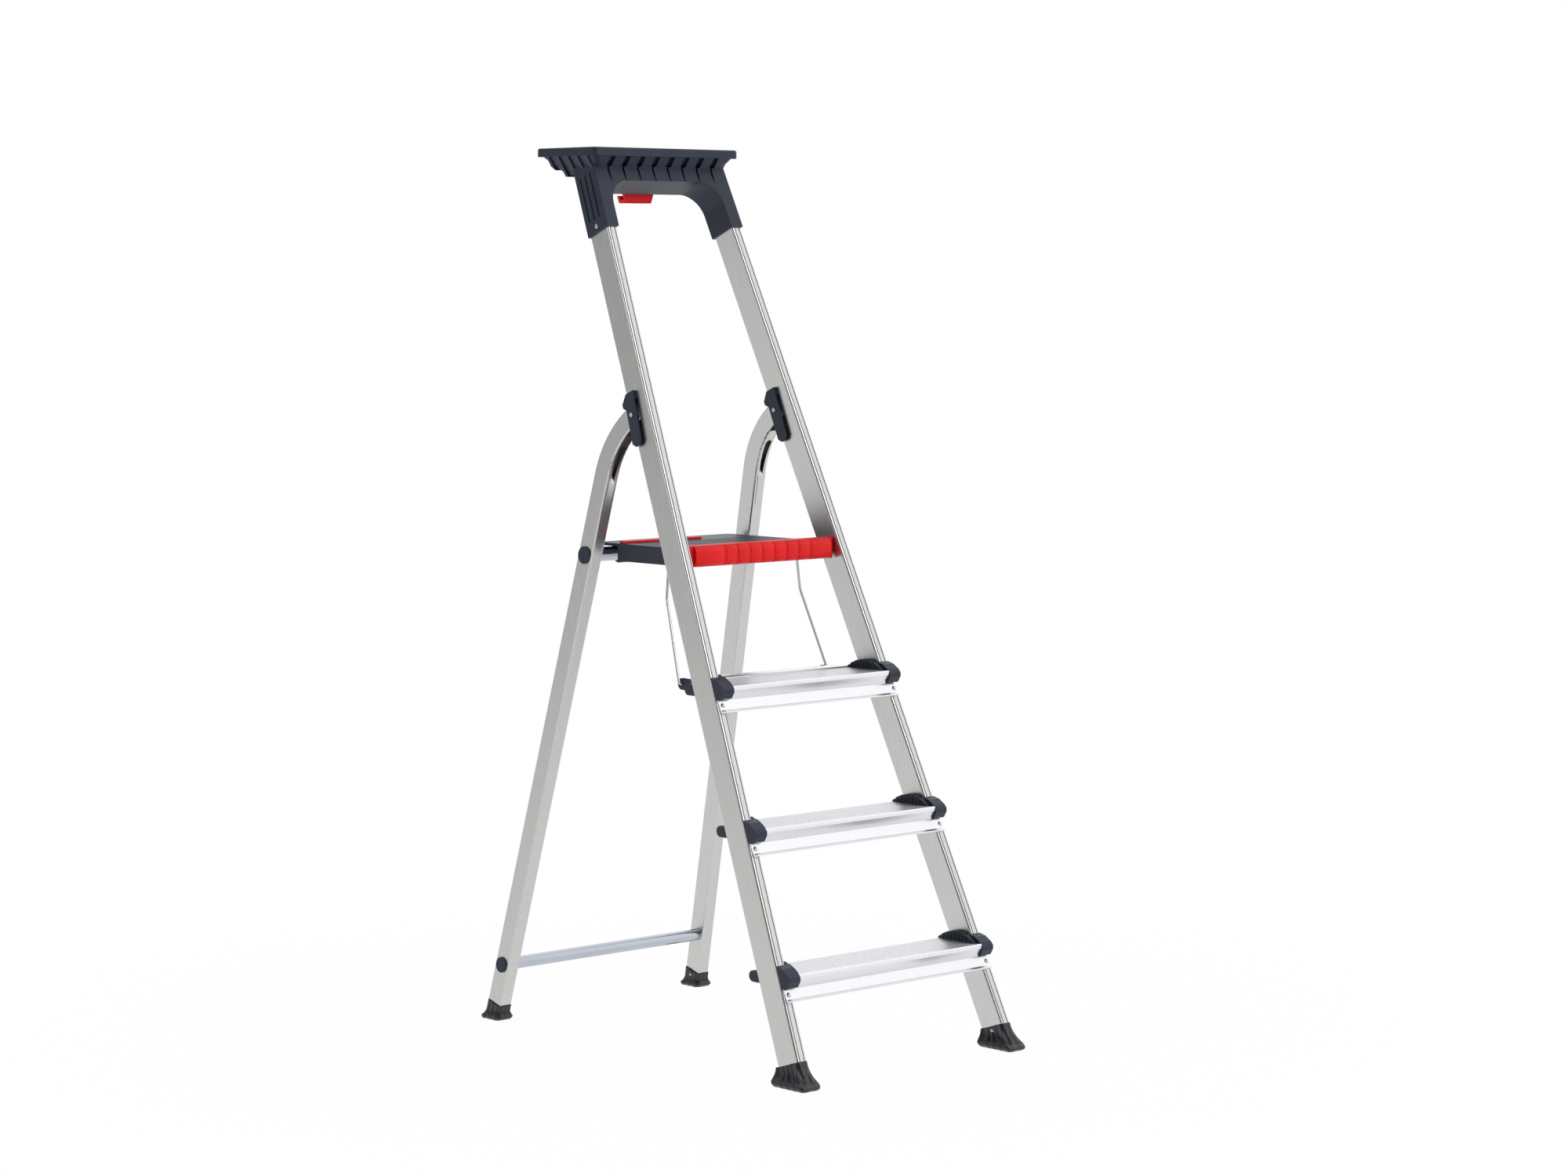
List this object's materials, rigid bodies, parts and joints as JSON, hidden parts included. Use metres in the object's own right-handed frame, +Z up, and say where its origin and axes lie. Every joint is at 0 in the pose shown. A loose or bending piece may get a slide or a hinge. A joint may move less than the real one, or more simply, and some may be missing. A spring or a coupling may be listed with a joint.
{
  "type": "folding platform step-ladder",
  "caption": "Folding step-ladder with ribbed treads, a tilting platform lifted by a wire stay, splayed rear legs and a handrail bow with a tool tray on top.",
  "frame": {"origin": "on the floor, midway between the toes of the front shoes and the heels of the rear shoes, in the middle of the width", "axes": "+Z up, +X to the right of a person climbing, +Y the way the climber faces"},
  "size_m": [0.525, 0.863, 1.545],
  "materials": {
    "anodised_aluminium": "satin, ribbed or ground along the extrusion",
    "leg_aluminium": "satin, ground along the tube",
    "rivet_steel": "bright",
    "zinc_plated_steel": "zinc plated, smooth",
    "bright_wire": "drawn and plated",
    "shoe_rubber": "matt",
    "red_plastic": "fine grained moulding",
    "black_plastic": "fine grained moulding"
  },
  "bodies": {
    "front_frame": {"stile_left": "anodised_aluminium", "stile_right": "anodised_aluminium", "tread_1": "anodised_aluminium", "tread_2": "anodised_aluminium", "tread_3": "anodised_aluminium", "tread_end_1_left": "black_plastic", "tread_end_1_right": "black_plastic", "tread_end_2_left": "black_plastic", "tread_end_2_right": "black_plastic", "tread_end_3_left": "black_plastic", "tread_end_3_right": "black_plastic", "tread_rivets": "rivet_steel", "hinge_bracket_left": "black_plastic", "hinge_bracket_right": "black_plastic", "hinge_pin_left": "rivet_steel", "hinge_pin_right": "rivet_steel", "handle_tray": "black_plastic", "bow_rivets": "rivet_steel", "bucket_hook": "red_plastic", "front_shoe_left": "shoe_rubber", "front_shoe_right": "shoe_rubber", "front_shoe_rivets": "rivet_steel", "platform_rest_pins": "rivet_steel"},
    "rear_frame": {"rear_leg_left": "leg_aluminium", "rear_leg_right": "leg_aluminium", "cross_tube": "zinc_plated_steel", "cross_tube_plugs": "black_plastic", "platform_tube": "zinc_plated_steel", "platform_tube_plugs": "black_plastic", "rear_shoe_left": "shoe_rubber", "rear_shoe_right": "shoe_rubber", "rear_shoe_rivets": "rivet_steel"},
    "platform": {"platform_deck": "black_plastic", "platform_front_bar": "red_plastic", "platform_toe_strip": "red_plastic"},
    "stay": {"stay_wire": "bright_wire"}
  },
  "joints": [
    {"name": "frame_fold", "type": "hinge", "parent": "front_frame", "child": "rear_frame", "pos_m": [0, 0.08948, 1.0854], "axis": [-1, 0, 0], "range_deg": [0, 33.5]},
    {"name": "platform_tilt", "type": "hinge", "parent": "rear_frame", "child": "platform", "pos_m": [0, 0.20202, 0.839], "axis": [-1, 0, 0], "range_deg": [0, 44.2]},
    {"name": "stay_swing", "type": "hinge", "parent": "front_frame", "child": "stay", "pos_m": [0, -0.02306, 0.63], "axis": [1, 0, 0], "range_deg": [0, 25.6]}
  ],
  "couplings": [
    {"joint": "platform_tilt", "follows": "frame_fold", "ratio": 1.318},
    {"joint": "stay_swing", "follows": "frame_fold", "ratio": 0.76236}
  ]
}
